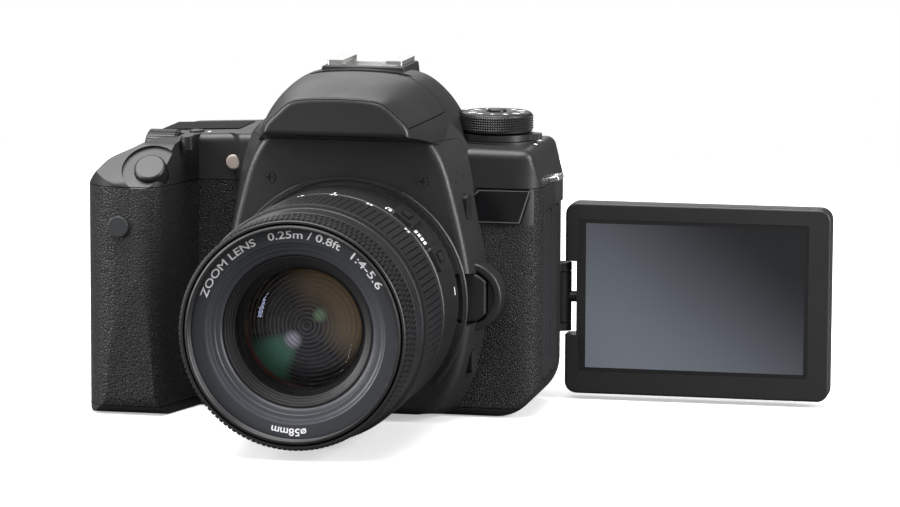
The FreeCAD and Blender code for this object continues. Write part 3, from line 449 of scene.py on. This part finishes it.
def build_screen():
    """A switched-off display: a blue-grey slope of painted reflection inside the panel, and black round it."""
    made, tree, shader = finish("screen_behind_glass", (0, 0, 0), 0.16, coat=0.6)
    place = add(tree, "ShaderNodeTexCoord").outputs["Object"]
    reach = add(tree, "ShaderNodeVectorMath", operation="DOT_PRODUCT")
    reach.inputs[1].default_value = REFLECTION_WAY
    tree.links.new(place, reach.inputs[0])
    # painted reflection: the panel is drawn lighter towards one lower corner, as a reflection of the room
    reflection_slope = tone_between(tree, PANEL_REFLECTION, PANEL_DARK, mapped(tree, reach.outputs["Value"], *REFLECTION_SPAN))
    split = add(tree, "ShaderNodeSeparateXYZ")
    tree.links.new(place, split.inputs[0])
    inside = []
    panel_low, panel_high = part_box("monitor_display")
    for axis, k in (("X", 0), ("Z", 2)):
        middle, half = (panel_low[k] + panel_high[k]) / 2, (panel_high[k] - panel_low[k]) / 2
        away = math_node(tree, "ABSOLUTE", math_node(tree, "SUBTRACT", split.outputs[axis], middle))
        inside.append(math_node(tree, "LESS_THAN", away, half - BORDER_OVERLAP))
    both = math_node(tree, "MULTIPLY", *inside)
    tree.links.new(tone_between(tree, PANEL_BORDER, reflection_slope, both), shader.inputs["Base Color"])
    return made


SCREEN = build_screen()
print("display:", SCREEN.name)

# %% [markdown]
# Looked at from the front, a stack of coated elements shows coloured arcs near its rim, fine rings where the
# edges of the elements lie behind one another, and small spots where inner faces throw a light back. A true film
# would need every element of the lens, so the arcs, rings and spots are painted reflections, drawn into the
# colour of the inner element.

# %% Lens coating and painted reflections
FILM_NM = 120.0
RING_PITCH, RING_LINE, REFLECTED_RING_TONE = 0.0005, 0.00022, (0.20, 0.18, 0.15)
DEEP_GLASS = (0.006, 0.006, 0.007)
# painted reflections: coloured arcs and lighter ring lines that coated elements would reflect
REFLECTION_ARCS = (  # colour, bearing in radians, where it starts and ends to fade, radii where it fades in
    ((0.46, 0.29, 0.13), 0.65, 0.7, 1.7, 0.002, 0.012),
    ((0.11, 0.42, 0.26), -2.4, 0.2, 0.55, 0.003, 0.009),
    ((0.34, 0.10, 0.07), -2.5, 0.5, 1.0, 0.0142, 0.0152),
)
GLINTS = (((0.85, 0.8, 0.95), -0.0035, -0.0035, 0.0028), ((0.30, 0.5, 0.28), 0.003, 0.0025, 0.0022))


def build_front_coating():
    """Optical glass with a thin film that colours what it reflects."""
    made = glass("front_coating", (0.97, 0.98, 1.0), 0.0)
    shader = made.node_tree.nodes["Principled BSDF"]
    shader.inputs["Thin Film Thickness"].default_value = FILM_NM
    shader.inputs["Thin Film IOR"].default_value = FILM_IOR
    return made


def length_of(tree, one, two):
    """The length of two sides at a right angle."""
    squares = (math_node(tree, "MULTIPLY", side, side) for side in (one, two))
    return math_node(tree, "SQRT", math_node(tree, "ADD", *squares))


def build_inner_reflections():
    """A dark element with painted reflections: coloured arcs, fine rings and two soft spots."""
    made, tree, shader = finish("inner_painted_reflections", (0.02, 0.02, 0.02), 0.22)
    split = add(tree, "ShaderNodeSeparateXYZ")
    tree.links.new(add(tree, "ShaderNodeTexCoord").outputs["Object"], split.inputs[0])
    across, rise = split.outputs["X"], math_node(tree, "SUBTRACT", split.outputs["Z"], AXIS_Z)
    radius, bearing = length_of(tree, across, rise), math_node(tree, "ARCTAN2", rise, across)
    # painted reflections: arcs, glints and ring lines are mixed into the element's base colour
    layer = DEEP_GLASS
    for color, middle, full, gone, inner, outer in REFLECTION_ARCS:
        away = math_node(tree, "ABSOLUTE", math_node(tree, "SUBTRACT", bearing, middle))
        arc = math_node(tree, "MULTIPLY", mapped(tree, away, full, gone, 1.0, 0.0),
                        mapped(tree, radius, inner, outer))
        layer = tone_between(tree, layer, color, arc)
    for color, x, z, size in GLINTS:
        away = length_of(tree, math_node(tree, "SUBTRACT", across, x), math_node(tree, "SUBTRACT", rise, z))
        layer = tone_between(tree, layer, color, mapped(tree, away, size * 0.2, size, 1.0, 0.0))
    line = mapped(tree, math_node(tree, "PINGPONG", radius, RING_PITCH), 0.0, RING_LINE)
    tree.links.new(tone_between(tree, REFLECTED_RING_TONE, layer, line), shader.inputs["Base Color"])
    return made


FRONT_COATING, INNER_REFLECTIONS = build_front_coating(), build_inner_reflections()
print("coatings:", FRONT_COATING.name, INNER_REFLECTIONS.name)

# %% [markdown]
# Every CAD part now takes the finish of its slot. Five of them need one of their own: the finer leather of the
# side, the coated front element, the inner group with its painted reflections, the display behind its glass and
# the smoked remote-control window.

# %% Dress the CAD nodes
for entry in frame["record"]["subparts"]:
    part = node[entry["node"]]
    part.data.materials.clear()
    part.data.materials.append(FINISH[entry["material_slot"]])
for name, own in (("side_rubber", SIDE_LEATHER), ("front_element", FRONT_COATING),
                  ("lens_elements", INNER_REFLECTIONS), ("monitor_glass", SCREEN), ("remote_window", SMOKED)):
    node[name].data.materials[0] = own

# %% [markdown]
# The zoom ring is a rubber sleeve moulded with flat ribs, parted by narrow grooves that the fingers grip.
# It could be a plain ring with a striped bump, but the ribs break up the outline of the ring, so they are
# real: the ring is turned with one face for each rib, and every face of the band is drawn in and lifted.

# %% Ribbed rings of the lens
FACING = 0.9  # least cosine between a face and the way outwards


def band_faces(bm, y0, y1):
    """The outward faces of a lens ring whose middles lie between two distances, in millimetres."""
    found = []
    for face in bm.faces:
        middle = face.calc_center_median() - LENS_CENTRE
        outward = Vector((middle.x, 0, middle.z))
        if y0 * MM < middle.y < y1 * MM and face.normal.dot(outward.normalized()) > FACING:
            found.append(face)
    return found


def raise_ribs(bm, faces, margin, lift, soften):
    """Draws each face in by a margin and lifts it, in millimetres, then softens the rib's rim."""
    bmesh.ops.inset_individual(bm, faces=faces, thickness=margin * MM, depth=0.0, use_even_offset=True)
    for face in faces:
        for vert in face.verts:
            vert.co += face.normal * lift * MM
    rims = list({edge for face in faces for edge in face.edges})
    bmesh.ops.bevel(bm, geom=rims, offset=soften * MM, segments=1, affect="EDGES", profile=0.5, material=-1)


ZOOM_RIBS = 108
ZOOM_PROFILE = [(30.9, -75.5), (32.5, -75.5), (32.95, -75.25), (33.0, -74.9), (32.55, -74.7), (32.55, -56.2),
                (33.0, -56.0), (33.15, -55.7), (33.15, -54.9), (32.95, -54.6), (32.95, -54.1), (32.6, -53.8),
                (30.9, -53.8)]
bm = lens_ring(ZOOM_PROFILE, ZOOM_RIBS)
raise_ribs(bm, band_faces(bm, -74.6, -56.3), margin=0.26, lift=0.55, soften=0.08)
finish_piece("zoom_ring_ribs", bm, "zoom_ring", "lens_black", ["zoom_ring"], angle=30)

# %% [markdown]
# The focus ring's grip is much finer: three rows of short narrow bars, each row set half a step round from the
# one before. Each row is turned on its own and then rotated by half a bar, and a plain bead closes the front.

# %% Fine focus ring
FOCUS_BARS, FOCUS_R, REAR_BORE, FRONT_BORE = 132, 30.7, 28.9, 30.2
FOCUS_ROWS = ((-94.95, -91.1, FRONT_BORE), (-91.05, -87.35, FRONT_BORE), (-87.3, -83.65, REAR_BORE))
FOCUS_BEAD = [(30.2, -94.98), (30.9, -94.98), (31.0, -95.08), (30.8, -95.28), (30.3, -95.28)]
bm = bmesh.new()
for row, (y0, y1, bore) in enumerate(FOCUS_ROWS):
    ring = lens_ring([(bore, y0), (FOCUS_R - 0.15, y0), (FOCUS_R, y0 + 0.1), (FOCUS_R, y1 - 0.1),
                      (FOCUS_R - 0.15, y1), (bore, y1)], FOCUS_BARS)
    raise_ribs(ring, band_faces(ring, y0 + 0.15, y1 - 0.15), margin=0.26, lift=0.85, soften=0.06)
    half_step = Matrix.Rotation(math.tau / FOCUS_BARS / 2 * row, 3, "Y")
    bmesh.ops.rotate(ring, verts=ring.verts, cent=LENS_CENTRE, matrix=half_step)
    merge(bm, ring)
merge(bm, lens_ring(FOCUS_BEAD, 180))
finish_piece("focus_ring_grip", bm, "focus_ring", "lens_black", ["focus_ring"], angle=30)

# %% [markdown]
# The moving tube ends in the filter rim: a bead with fine turned ridges outside and a screw thread inside,
# which takes a filter. Both are plain turned shapes, so one profile makes the whole tube.

# %% Inner barrel with its filter rim
FRONT_MM = LENS_FRONT / MM
THREAD_TURNS, THREAD_PITCH, THREAD_START = 4, 0.75, -95.2
SLIDING_TUBE = [(28.7, -50.0), (28.7, -76.2), (32.1, -76.2), (32.2, -76.35), (32.15, -77.6), (31.95, -77.75),
                (31.9, -78.0), (32.05, -78.2), (31.62, -83.1), (31.5, -83.3), (28.5, -83.3), (28.5, -91.3)]
RIM = [(29.7, -91.3), (29.75, -95.1), (29.65, -95.5), (29.4, -95.7), (29.2, FRONT_MM), (28.9, FRONT_MM),
       (28.65, -95.5)]
thread = []
for turn_of_thread in range(THREAD_TURNS):
    y = THREAD_START + THREAD_PITCH * turn_of_thread
    thread += [(28.62, y), (28.95, y + 0.34), (28.95, y + 0.42), (28.62, y + 0.7)]
BORE = [(28.6, -92.3), (26.05, -92.3), (26.05, -50.0)]
bm = lens_ring(SLIDING_TUBE + RIM + thread + BORE, 180)
finish_piece("filter_rim_tube", bm, "inner_barrel", "lens_black", ["inner_barrel"], angle=25)

# %% [markdown]
# Inside the rim sits the name ring, a flat dark blue-grey ring, and then a well of stepped light traps down
# to the front glass. The steps are turned with crisp lips, because their bright edges are what shows.

# %% Name ring and light traps
RING_STEPS = [(28.5, -92.32), (28.5, -92.45), (24.9, -92.45), (24.6, -92.3), (24.4, -91.9), (24.3, -91.6),
              (23.9, -91.5), (23.6, -91.3), (23.5, -90.9), (22.6, -90.7), (22.4, -90.5), (22.3, -90.1),
              (21.5, -89.9), (21.2, -89.7), (20.9, -89.3), (20.85, -84.1), (25.98, -84.1), (25.98, -92.32)]
bm = lens_ring(RING_STEPS, 180)
finish_piece("name_ring_steps", bm, "inner_barrel", "ring_grey", ["name_ring"], angle=25)
WALL_R, LIP_R, LIP_START, LIP_PITCH = 17.0, 16.2, -82.2, 2.0
steps = [(20.7, -89.0), (20.2, -89.0), (20.0, -88.85), (19.9, -88.3), (19.5, -88.15), (19.3, -88.0),
         (19.2, -87.5), (18.8, -87.3), (18.6, -87.2), (18.5, -86.6), (18.15, -86.4), (18.15, -83.0),
         (WALL_R, -83.0)]
for band in range(6):
    y = LIP_START + LIP_PITCH * band
    lip = [(LIP_R, y + 0.15), (LIP_R, y + 0.35)] if band < 2 else []  # behind two lips the wall stays plain
    steps += [(WALL_R, y), *lip, (WALL_R, y + 0.5)]
steps += [(WALL_R, -68.6), (7.6, -68.5), (7.5, -68.3), (7.5, -68.0), (7.6, -67.8), (WALL_R, -67.8),
          (WALL_R, -60.0), (20.7, -60.0)]
bm = lens_ring(steps, 144)
finish_piece("light_traps", bm, "inner_barrel", "interior_black", ["optics_cell"], angle=25)

# %% [markdown]
# The ring carries white printing that follows the curve. Only plain optical figures are printed: the focal
# type, the closest distance, the aperture range and the thread size. Each word is set flat with the plain
# built-in face, made a mesh, and bent round the axis, then given the thickness of the ink.

# %% Words bent round the axis
CAP_SHARE = 0.7  # height of a capital in the built-in face, as a share of its size
LETTER_STEPS, LETTER_BOLD, LETTER_WELD = 3, 0.012, 1e-5


def flat_words(words):
    """The words as a flat mesh in a bmesh, moved so that they start at x = 0 and stand on y = 0."""
    curve = bpy.data.curves.new("words", "FONT")
    curve.body, curve.resolution_u, curve.offset = words, LETTER_STEPS, LETTER_BOLD
    holder = bpy.data.objects.new("words", curve)
    bpy.context.scene.collection.objects.link(holder)
    bpy.context.view_layer.update()
    shape = bpy.data.meshes.new_from_object(holder.evaluated_get(bpy.context.evaluated_depsgraph_get()))
    bm = bmesh.new()
    bm.from_mesh(shape)
    bpy.data.objects.remove(holder)
    bpy.data.curves.remove(curve)
    bpy.data.meshes.remove(shape)
    bmesh.ops.remove_doubles(bm, verts=bm.verts, dist=LETTER_WELD)
    left = min(v.co.x for v in bm.verts)
    bmesh.ops.translate(bm, verts=bm.verts, vec=(-left, 0, 0))
    return bm, max(v.co.x for v in bm.verts)


def on_ring_face(words, start, end, radius, cap, y):
    """Words on a flat ring that faces the front, from one angle to another; cap is the letter height."""
    bm, width = flat_words(words)
    sweep, scale = math.radians(end - start), cap * MM / CAP_SHARE
    for v in bm.verts:
        angle = math.radians(start) + sweep * v.co.x / width
        r = radius * MM + (v.co.y - CAP_SHARE / 2) * scale
        v.co = LENS_CENTRE + Vector((math.cos(angle) * r, y * MM, math.sin(angle) * r))
    bmesh.ops.recalc_face_normals(bm, faces=bm.faces)
    flip = [face for face in bm.faces if face.normal.y > 0]
    bmesh.ops.reverse_faces(bm, faces=flip)
    return bm


def on_barrel(words, middle, radius, cap, y):
    """Words on the side of a ring, read from behind the camera, centred on an angle."""
    bm, width = flat_words(words)
    scale = cap * MM / CAP_SHARE
    for v in bm.verts:
        angle = math.radians(middle) - (v.co.x - width / 2) * scale / (radius * MM)
        r, along = radius * MM, y * MM - v.co.y * scale
        v.co = LENS_CENTRE + Vector((math.cos(angle) * r, along, math.sin(angle) * r))
    for face in bm.faces:
        face.normal_update()
        outward = face.calc_center_median() - LENS_CENTRE
        outward.y = 0
        if face.normal.dot(outward) < 0:
            face.normal_flip()
    return bm


# %% [markdown]
# Pad printing leaves a film of ink that stands a few hundredths of a millimetre proud. Flat sheets are joined
# into one piece, and each is lifted along its normals and closed, so that the printing is real geometry.

# %% Ink the lens figures
INK = 0.00004


def inked(name, sheets, body, slot_name="printed_white"):
    """Joins flat sheets into one piece with the thickness of ink."""
    bm = bmesh.new()
    for sheet in sheets:
        merge(bm, sheet)
    raised = bmesh.ops.extrude_face_region(bm, geom=bm.faces[:], use_keep_orig=True)
    lifted = {item for item in raised["geom"] if isinstance(item, bmesh.types.BMVert)}
    backs = [face for face in bm.faces if not any(v in lifted for v in face.verts)]
    for v in lifted:
        v.co += v.normal * INK
    bmesh.ops.reverse_faces(bm, faces=backs)
    return finish_piece(name, bm, body, slot_name, angle=20)


WORDS_R, WORDS_Y, WORDS_CAP = 26.9, -92.47, 2.05
RING_WORDS = (("ZOOM LENS", 160, 114), ("0.25m / 0.8ft", 106, 62), ("1:4-5.6", 54, 29), ("ø58mm", -83, -104))
FOCAL_R, FOCAL_Y, FOCAL_CAP = 33.17, -55.0, 1.5
FOCAL_MARKS = (("18", 102), ("24", 86), ("35", 68), ("55", 46))
inked("ring_figures", [on_ring_face(words, start, end, WORDS_R, WORDS_CAP, WORDS_Y)
                       for words, start, end in RING_WORDS], "inner_barrel")
inked("focal_figures", [on_barrel(figure, angle, FOCAL_R, FOCAL_CAP, FOCAL_Y)
                        for figure, angle in FOCAL_MARKS], "zoom_ring")

# %% [markdown]
# Index marks, switch positions and button labels are small printed bars and dots. A thin bar wrapped on the
# barrel is enough for each; no words or signs are drawn.

# %% Printed bars on the barrel
def barrel_bar(start, end, radius, y0, y1):
    """A thin sheet on the barrel from one angle to another and from y0 to y1 in millimetres."""
    bm = bmesh.new()
    cuts = max(1, int(abs(end - start) / 2))
    rows = []
    for k in range(cuts + 1):
        angle = math.radians(start + (end - start) * k / cuts)
        rows.append([bm.verts.new(LENS_CENTRE + Vector((math.cos(angle) * radius * MM, y * MM,
                                                        math.sin(angle) * radius * MM))) for y in (y0, y1)])
    for one, two in zip(rows, rows[1:]):
        face = bm.faces.new((one[0], two[0], two[1], one[1]))
        outward = face.calc_center_median() - LENS_CENTRE
        face.normal_update()
        if face.normal.dot(Vector((outward.x, 0, outward.z))) < 0:
            face.normal_flip()
    return bm


BARREL_R = 33.02
BAR_SPOTS = ((86.6, 87.4, -52.6, -50.6), (58.5, 60.0, -50.5, -48.6), (61.0, 61.8, -50.5, -48.6),
             (58.8, 61.4, -47.8, -47.2), (35.5, 37.0, -50.5, -47.5), (37.8, 39.3, -50.5, -47.5),
             (40.1, 41.6, -50.5, -47.5), (42.4, 43.9, -50.5, -47.5), (6.0, 9.8, -37.4, -36.4))
inked("barrel_marks", [barrel_bar(start, end, BARREL_R, y0, y1) for start, end, y0, y1 in BAR_SPOTS], "lens")

# %% [markdown]
# The mode dial is a cap with a diamond knurl, so that it turns with one finger. Each little face of the
# turned side is drawn up to a point, which is how the real cutter leaves it. Its marks are plain dots and bars.

# %% Mode dial
dial_low, dial_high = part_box("mode_dial")
DIAL = Vector(((dial_low[0] + dial_high[0]) / 2, (dial_low[1] + dial_high[1]) / 2, 0))
DIAL_UP, DIAL_OUT = Vector((0, 0, 1)), Vector((1, 0, 0))
SIDEWAYS = 0.1  # a face of a wheel's rim leans along its axis by less than this
bm = bmesh.new()
KNURLS_ROUND, KNURL_LIFT, KNURL_R = 96, 0.3, 10.25
KNURL_LOW, KNURL_HIGH, KNURL_MAX_AREA = 80.1, 84.3, 1e-6
knurl_rows = [(KNURL_R, 80.15 + 0.68 * k) for k in range(7)]
profile = ([(0, 72.0), (3.8, 72.0), (3.8, 79.45), (9.7, 79.45), (10.2, 79.8), (KNURL_R, 80.0)] + knurl_rows
           + [(10.2, 84.4), (9.9, 84.8), (9.3, 85.1), (9.1, 85.15), (8.95, 85.0), (5.6, 85.0), (5.4, 85.15),
              (3.2, 85.15), (3.0, 85.0), (3.0, 78.1), (0, 78.1)])
turn(bm, [(r * MM, z * MM) for r, z in profile], DIAL, DIAL_UP, DIAL_OUT, KNURLS_ROUND, closed=False)
side = [face for face in bm.faces if KNURL_LOW * MM < face.calc_center_median().z < KNURL_HIGH * MM
        and abs(face.normal.z) < SIDEWAYS and face.calc_area() < KNURL_MAX_AREA
        and (face.calc_center_median() - DIAL).xy.length > 10 * MM]
bmesh.ops.poke(bm, faces=side, offset=KNURL_LIFT * MM, center_mode="MEAN")
finish_piece("mode_dial_knurled", bm, "mode_dial", "control_black", ["mode_dial"], angle=25)


# %% Marks on the mode dial
def flat_mark(centre, across, up_way, wide=None, turned_by=0.0):
    """A flat dot at a point, facing a direction, or a bar if it is given a width to height ratio."""
    bm = bmesh.new()
    if wide is None:
        bmesh.ops.create_circle(bm, cap_ends=True, segments=14, radius=across * MM / 2)
    else:
        bmesh.ops.create_grid(bm, x_segments=1, y_segments=1, size=across * MM / 2)
        bmesh.ops.scale(bm, vec=(wide, 1, 1), verts=bm.verts)
    way = Vector(up_way).to_track_quat("Z", "Y").to_matrix() @ Matrix.Rotation(turned_by, 3, "Z")
    bmesh.ops.rotate(bm, verts=bm.verts, cent=(0, 0, 0), matrix=way)
    bmesh.ops.translate(bm, verts=bm.verts, vec=Vector(centre) * MM)
    for face in bm.faces:
        face.normal_update()
        if face.normal.dot(Vector(up_way)) < 0:
            face.normal_flip()
    return bm


DIAL_MARKS, MARKS_R, DIAL_TOP, MARK_SIZE = 12, 7.3, 85.03, 1.1
marks = []
for k in range(DIAL_MARKS):
    angle = math.tau * k / DIAL_MARKS
    spot = DIAL / MM + Vector((math.cos(angle) * MARKS_R, math.sin(angle) * MARKS_R, DIAL_TOP))
    wide = None if k % 3 == 0 else 2.3 if k % 2 else 1.5
    marks.append(flat_mark(spot, MARK_SIZE, DIAL_UP, wide, angle))
inked("mode_dial_marks", marks, "mode_dial")

# %% [markdown]
# The command wheels are metal or plastic cylinders with straight ribs across the rim. The front wheel lies
# across the grip, the rear wheel faces back, and the small eyesight wheel stands by the eyepiece. One
# function turns such a wheel about any axis and cuts its ribs.

# %% Ribbed wheels
RIM_SHARE = 0.9  # the ribs are on faces beyond this share of the wheel's radius
ACROSS, BACKWARDS = 0, 1  # the axes X and Y


def wheel(node_name, axis, profile_mm, ribs, band, margin, lift, soften):
    """A wheel about an axis through the middle of its CAD node, with a ribbed band of (low, high)."""
    low, high = (Vector(corner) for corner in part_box(node_name))
    centre = (low + high) / 2
    along = Vector([1.0 if k == axis else 0.0 for k in range(3)])
    centre[axis] = 0.0
    out = Vector((0, 0, 1))
    bm = bmesh.new()
    turn(bm, [(r * MM, d * MM) for r, d in profile_mm], centre, along, out, ribs, closed=False)
    rim = max(r for r, d in profile_mm) * MM * RIM_SHARE
    chosen = []
    for face in bm.faces:
        middle = face.calc_center_median()
        if band[0] * MM < middle[axis] < band[1] * MM and abs(face.normal[axis]) < SIDEWAYS:
            spoke = middle - centre
            spoke[axis] = 0
            if face.normal.dot(spoke) > 0 and spoke.length > rim:
                chosen.append(face)
    raise_ribs(bm, chosen, margin, lift, soften)
    return bm


quick_low, quick_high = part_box("quick_dial")
face_y, back_y = quick_low[1] / MM, quick_high[1] / MM
MAIN_PROFILE = [(0, -60.6), (5.6, -60.6), (6.05, -60.4), (6.2, -60.1), (6.2, -51.9), (6.05, -51.6), (5.6, -51.4),
                (0, -51.4)]
QUICK_PROFILE = [(4.7, 23.0), (4.7, back_y - 0.7), (5.0, back_y - 0.4), (8.6, back_y - 1.0), (9.2, back_y - 0.1),
                 (9.6, back_y), (11.3, back_y), (12.0, back_y - 0.3), (12.15, back_y - 0.6), (12.15, 24.2),
                 (11.9, 23.9), (5.9, 23.9), (5.9, face_y), (4.7, face_y), (4.7, 23.0)]
DIOPTER_PROFILE = [(0, 22.4), (1.25, 22.4), (1.25, 24.6), (2.9, 24.6), (3.1, 24.8), (3.1, 27.5), (2.8, 27.85),
                   (0, 27.95)]
bm = wheel("main_dial", ACROSS, MAIN_PROFILE, ribs=44, band=(-60.0, -52.0), margin=0.16, lift=0.4, soften=0.06)
finish_piece("main_wheel_ribbed", bm, "main_dial", "control_black", ["main_dial"], angle=30)
bm = wheel("quick_dial", BACKWARDS, QUICK_PROFILE, ribs=90, band=(24.3, back_y - 0.7), margin=0.12, lift=0.4,
           soften=0.05)
finish_piece("quick_wheel_ribbed", bm, "quick_dial", "control_black", ["quick_dial"], angle=30)
bm = wheel("diopter_dial", BACKWARDS, DIOPTER_PROFILE, ribs=30, band=(24.9, 27.4), margin=0.1, lift=0.28,
           soften=0.04)
finish_piece("diopter_wheel_ribbed", bm, "diopter_dial", "control_black", ["diopter_dial"], angle=30)

# %% [markdown]
# The small things a hand or an eye looks for: microphone holes beside the badge, contacts in the hot shoe and
# marks beside the buttons. They are thin pieces laid on the casing. The holes are black discs of painted shade,
# and the contacts lie on the shoe floor. For each hole and mark, a ray finds the surface under it.

# %% Microphone holes as painted shade, and other small marks
RAY_START, LAID_GAP = 0.2, 0.00001


def surface(node_name, start, way):
    """Where a ray from a point meets a CAD node, with the outward normal there, or None if it misses."""
    hit, spot, normal, _ = node[node_name].ray_cast(Vector(start), Vector(way))
    return (spot, normal) if hit else None


def on_front(x, z):
    """The front cover's surface at (x, z) in millimetres."""
    return surface("front_cover", (x * MM, -RAY_START, z * MM), (0, 1, 0))


def on_top(x, y):
    """The top cover's surface at (x, y) in millimetres."""
    return surface("top_cover", (x * MM, y * MM, RAY_START), (0, 0, -1))


def on_rear(x, z):
    """The rear cover's surface at (x, z) in millimetres."""
    return surface("rear_cover", (x * MM, RAY_START, z * MM), (0, -1, 0))


def laid(name, spots, across, slot_name, wide=None):
    """Small marks of one kind laid on the casing, from a list of (spot, normal); a missed spot has no mark."""
    sheets = [flat_mark((spot + normal * LAID_GAP) / MM, across, normal, wide)
              for spot, normal in filter(None, spots)]
    return inked(name, sheets, "camera", slot_name)


MICROPHONE, HOLE_SPREAD, SHOE_FLOOR = (30.7, 69.5), 1.3, 96.9
# painted shade: black discs stand in for the shade inside the microphone holes
laid("microphone_hole_shade", [on_front(MICROPHONE[0] + dx * HOLE_SPREAD, MICROPHONE[1] + dz * HOLE_SPREAD)
                          for dx, dz in ((0, 1), (0, -1), (1, 0), (-1, 0))],
     across=0.8, slot_name="interior_black")
laid("shoe_contacts", [(Vector((x, y, SHOE_FLOOR)) * MM, Vector((0, 0, 1)))
                       for x, y in ((0, 3.2), (-3.4, -2.0), (3.4, -2.0), (-3.4, 6.8), (3.4, 6.8))],
     across=2.0, slot_name="socket_brass")
laid("top_marks", [on_top(x, y) for x, y in ((-44.8, -9.5), (48.6, 0.5), (48.2, 9.5))],
     across=0.9, slot_name="printed_white", wide=2.2)
laid("rear_marks", [on_rear(x, z) for x, z in ((-34.5, 65.2), (-34.0, 43.2))],
     across=0.8, slot_name="printed_white", wide=2.4)

# %% [markdown]
# The badge is a gloss plate with a fine bright edge, left blank here. The edge is a narrow frame that
# follows the plate's outline, so it is drawn from that outline and given a little thickness.

# %% Badge edge
EDGE_WIDTH, EDGE_SUNK, EDGE_PROUD = 0.42, 0.01, -0.05
OUTLINE = [(33.1, 56.0), (47.4, 56.0), (50.3, 65.2), (35.6, 65.2), (33.1, 62.9)]
badge_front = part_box("name_badge")[0][1] / MM
middle = Vector((sum(x for x, z in OUTLINE), 0, sum(z for x, z in OUTLINE))) / len(OUTLINE)
bm = bmesh.new()
outer, inner, outer_lift, inner_lift = [], [], [], []
for x, z in OUTLINE:
    corner = Vector((x, 0, z))
    inward = corner + (middle - corner).normalized() * EDGE_WIDTH
    for ring, spot, y in ((outer, corner, EDGE_SUNK), (inner, inward, EDGE_SUNK),
                          (outer_lift, corner, EDGE_PROUD), (inner_lift, inward, EDGE_PROUD)):
        ring.append(bm.verts.new(Vector((spot.x, badge_front + y, spot.z)) * MM))
for one, two in ((outer_lift, inner_lift), (inner, outer), (outer, outer_lift), (inner_lift, inner)):
    for k in range(len(OUTLINE)):
        n = (k + 1) % len(OUTLINE)
        bm.faces.new((one[k], one[n], two[n], two[k]))
bmesh.ops.recalc_face_normals(bm, faces=bm.faces)
finish_piece("badge_edge", bm, "camera", "mount_steel", angle=25)
